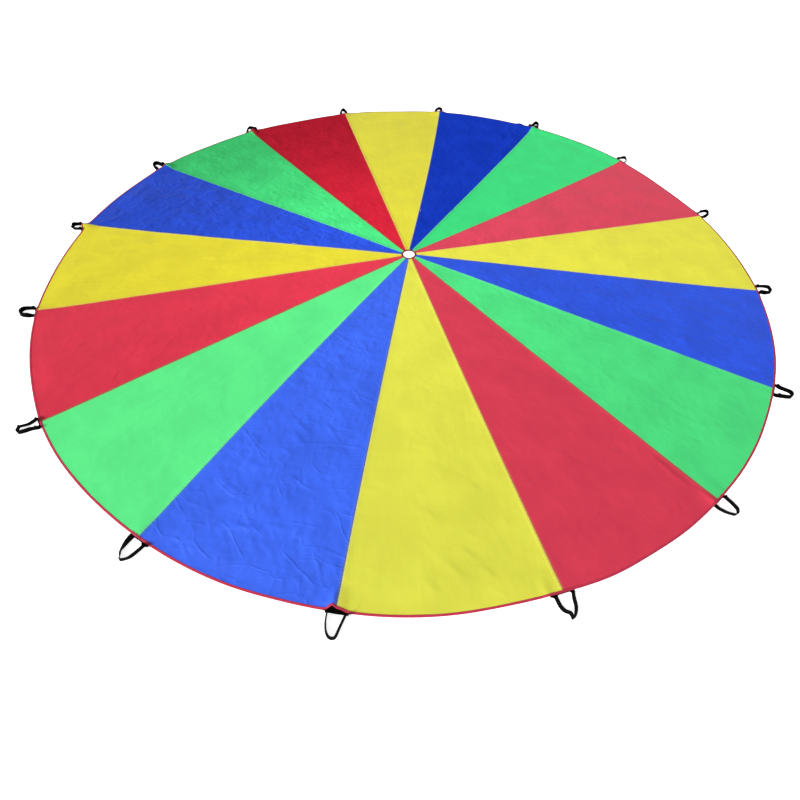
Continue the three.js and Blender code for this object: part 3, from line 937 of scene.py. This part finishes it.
def make_stitching(k, material):
    """A stitched box with a cross through the hem over each handle."""
    left, right = handle_ends(k)[0] + 2 * MM, handle_ends(k)[1] - 2 * MM
    angle = STEP * k
    inner, outer = RADIUS - 9.6 * MM, RADIUS - 2.4 * MM
    corners = [(left, inner), (right, inner), (right, outer), (left, outer)]
    lines = list(zip(corners, corners[1:] + corners[:1]))
    lines += [((left, inner), (right, outer)), ((left, outer), (right, inner))]
    verts, polys = [], []
    for (u0, r0), (u1, r1) in lines:
        length = math.hypot(u1 - u0, r1 - r0)
        count = max(2, round(length / STITCH_STEP))
        c, s = (u1 - u0) / length, (r1 - r0) / length
        for i in range(count):
            t = (i + 0.5) / count
            base = len(verts)
            for px, py, pz in STITCH:
                verts.append((u0 + (u1 - u0) * t + px * c - py * s, r0 + (r1 - r0) * t + px * s + py * c, pz))
            polys += [tuple(base + j for j in f) for f in STITCH_FACES]
    verts = np.array(verts)
    a = angle + verts[:, 0] / RADIUS
    r = verts[:, 1]
    top = cloth_height(r * np.cos(a), r * np.sin(a)) + CLOTH + TAPE + 0.2 * MM
    off = np.abs(verts[:, 0])
    top = top + LAP_LIFT * (1 - smooth(off, 6 * MM, 10 * MM)) + 0.16 * MM
    points = creep(np.stack([r * np.cos(a), r * np.sin(a), top + verts[:, 2]], -1))
    mesh = bpy.data.meshes.new(f"hem_stitching_{k + 1:02d}")
    mesh.from_pydata([tuple(p) for p in points], [], polys)
    mesh.materials.append(material)
    ob = placed(mesh.name, mesh)
    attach(ob, "canopy")
    return ob


# The gores, each its dye with a painted shade and a painted sheen for how the light falls on it
cloth_rgb = []
for k in range(GORES):
    dye, tint = DYES[COLOURS[k % 4]], PAINTED_SHEEN_TINTS[COLOURS[k % 4]]
    cloth_rgb.append(tuple(max(0.001, c * GORE_PAINTED_SHADE[k] + t * GORE_PAINTED_SHEEN[k]) for c, t in zip(linear(dye), tint)))
for k in range(GORES):
    neighbours = cloth_rgb[k - 1], cloth_rgb[(k + 1) % GORES]
    name = f"taffeta_{k + 1:02d}_{COLOURS[k % 4]}"
    looks = SEAM_PAINTED_LIGHT[COLOURS[k % 4]], RIM_PAINTED_SHADE[k], GLOSS[k], k + 1, CRUMPLED[k], CREASE_TURN.get(k, 30)
    make_gore(k, cloth_material(name, cloth_rgb[k], neighbours, *looks))

# The two bindings
# The rim tape is given painted shade round the back and right, where less light falls
red_tape = tape_material("red_binding_tape", linear((200, 48, 78)), 0.0064, math.radians(75))
dark_tape = tape_material("dark_red_crown_tape", linear((118, 16, 40)), 0.0080)
stations = 1920
rim = make_binding("rim_tape", RADIUS, RIM_TAPE, True, stations, red_tape, "rim_binding")
crown = make_binding("crown_tape", HOLE, CROWN_TAPE, False, 128, dark_tape, "crown_binding")

# The handles
black = webbing_material()
thread = thread_material()
for k in range(GORES):
    make_loop(k, black)
    make_base(k, black)
    make_stitching(k, thread)


def plain_floor():
    """The floor, white to the camera, with the object's shadow near the object."""
    n = Nodes("pale_floor")
    path = n.add("LightPath")
    spot = n.add("TexCoord")
    mottle = n.noise(spot.outputs["Object"], 3.0, 2.0)
    n.link(n.mix(mottle, (0.78, 0.78, 0.78, 1), (0.82, 0.82, 0.82, 1)), n.shader.inputs["Base Color"])
    n.shader.inputs["Roughness"].default_value = 0.9
    n.shader.inputs["Specular IOR Level"].default_value = 0.1
    reach = n.add("VectorMath", operation="LENGTH")
    n.link(spot.outputs["Object"], reach.inputs[0])
    glow = n.add("Emission")
    glow.inputs["Color"].default_value = (1, 1, 1, 1)
    strength = n.step(reach.outputs["Value"], 1.95, 2.8, 0.82, 0.9)
    seen = n.math("MAXIMUM", path.outputs["Is Glossy Ray"], path.outputs["Is Transmission Ray"])
    seen = n.math("MAXIMUM", path.outputs["Is Camera Ray"], seen)
    n.link(n.math("MULTIPLY", seen, strength), glow.inputs["Strength"])
    both = n.add("AddShader")
    n.link(n.shader.outputs[0], both.inputs[0])
    n.link(glow.outputs[0], both.inputs[1])
    n.link(both.outputs[0], n.out.inputs[0])
    return n.material


FLOOR_RADIUS = 16
FLOOR_TOP = -0.0002
mesh = bpy.data.meshes.new("floor")
turns = np.linspace(0, 2 * math.pi, 49)[:-1]
ring = [(FLOOR_RADIUS * math.cos(t), FLOOR_RADIUS * math.sin(t), FLOOR_TOP) for t in turns]
mesh.from_pydata(ring, [], [tuple(range(48))])
mesh.materials.append(plain_floor())
floor = placed("floor", mesh)

# The world, white to the camera and in reflections, and dim as a light
world = bpy.data.worlds.new("studio")
bpy.context.scene.world = world
world.use_nodes = True
tree = world.node_tree
tree.nodes.clear()
out = tree.nodes.new("ShaderNodeOutputWorld")
back = tree.nodes.new("ShaderNodeBackground")
path = tree.nodes.new("ShaderNodeLightPath")
any_ray = tree.nodes.new("ShaderNodeMath")
any_ray.operation = "MAXIMUM"
tree.links.new(path.outputs["Is Camera Ray"], any_ray.inputs[0])
also = tree.nodes.new("ShaderNodeMath")
also.operation = "MAXIMUM"
tree.links.new(path.outputs["Is Glossy Ray"], also.inputs[0])
tree.links.new(path.outputs["Is Transmission Ray"], also.inputs[1])
tree.links.new(also.outputs[0], any_ray.inputs[1])
level = tree.nodes.new("ShaderNodeMapRange")
level.inputs["To Min"].default_value = 0.24
level.inputs["To Max"].default_value = 1.0
tree.links.new(any_ray.outputs[0], level.inputs["Value"])
back.inputs["Color"].default_value = (1, 1, 1, 1)
tree.links.new(level.outputs[0], back.inputs["Strength"])
tree.links.new(back.outputs[0], out.inputs[0])


def aimed(ob, direction):
    ob.rotation_mode = "QUATERNION"
    ob.rotation_quaternion = direction.to_track_quat("-Z", "Y")


def softbox(name, place, target, size, power):
    data = bpy.data.lights.new(name, "AREA")
    data.shape = "RECTANGLE"
    data.size, data.size_y = size
    data.energy = power
    ob = placed(name, data)
    ob.location = place
    aimed(ob, Vector(target) - Vector(place))


softbox("overhead", (0.2, -1.0, 3.2), (0.1, -0.6, 0), (3.2, 3.0), 9)
key_data = bpy.data.lights.new("key", "SUN")
key_data.energy = 4.1
key_data.angle = math.radians(18)
aimed(placed("key", key_data), Vector((0.695, 0.486, -0.53)))

# The camera, as the photograph was taken, from a fit to the rim and the seams, for a picture of 800 x 800
PICTURE_PX = 800
FOCAL_PX = 465.0589
TILT = 0.92294836
ROLL = 0.04040636
TURN = -0.09123512
AWAY = Vector((-0.01642165, -0.43412087, 1.38785205)) * RADIUS
SHIFT_PX = 14.3487
turn_back = Matrix.Rotation(-TURN, 3, "Z")
right = turn_back @ Vector((1, 0, 0))
down = turn_back @ Vector((0, -math.sin(TILT), -math.cos(TILT)))
ahead = turn_back @ Vector((0, math.cos(TILT), -math.sin(TILT)))
image_x = right * math.cos(ROLL) - down * math.sin(ROLL)
image_y = right * math.sin(ROLL) + down * math.cos(ROLL)
camera_data = bpy.data.cameras.new("camera")
camera_data.sensor_width = 36
camera_data.lens = FOCAL_PX / PICTURE_PX * camera_data.sensor_width
camera_data.shift_x = -SHIFT_PX / PICTURE_PX
camera = placed("camera", camera_data)
basis = Matrix((image_x, -image_y, -ahead)).transposed().to_4x4()
centre = -(image_x * AWAY.x + image_y * AWAY.y + ahead * AWAY.z)
camera.matrix_world = Matrix.Translation(centre) @ basis
bpy.context.scene.camera = camera
bpy.context.scene.view_settings.view_transform = "Standard"
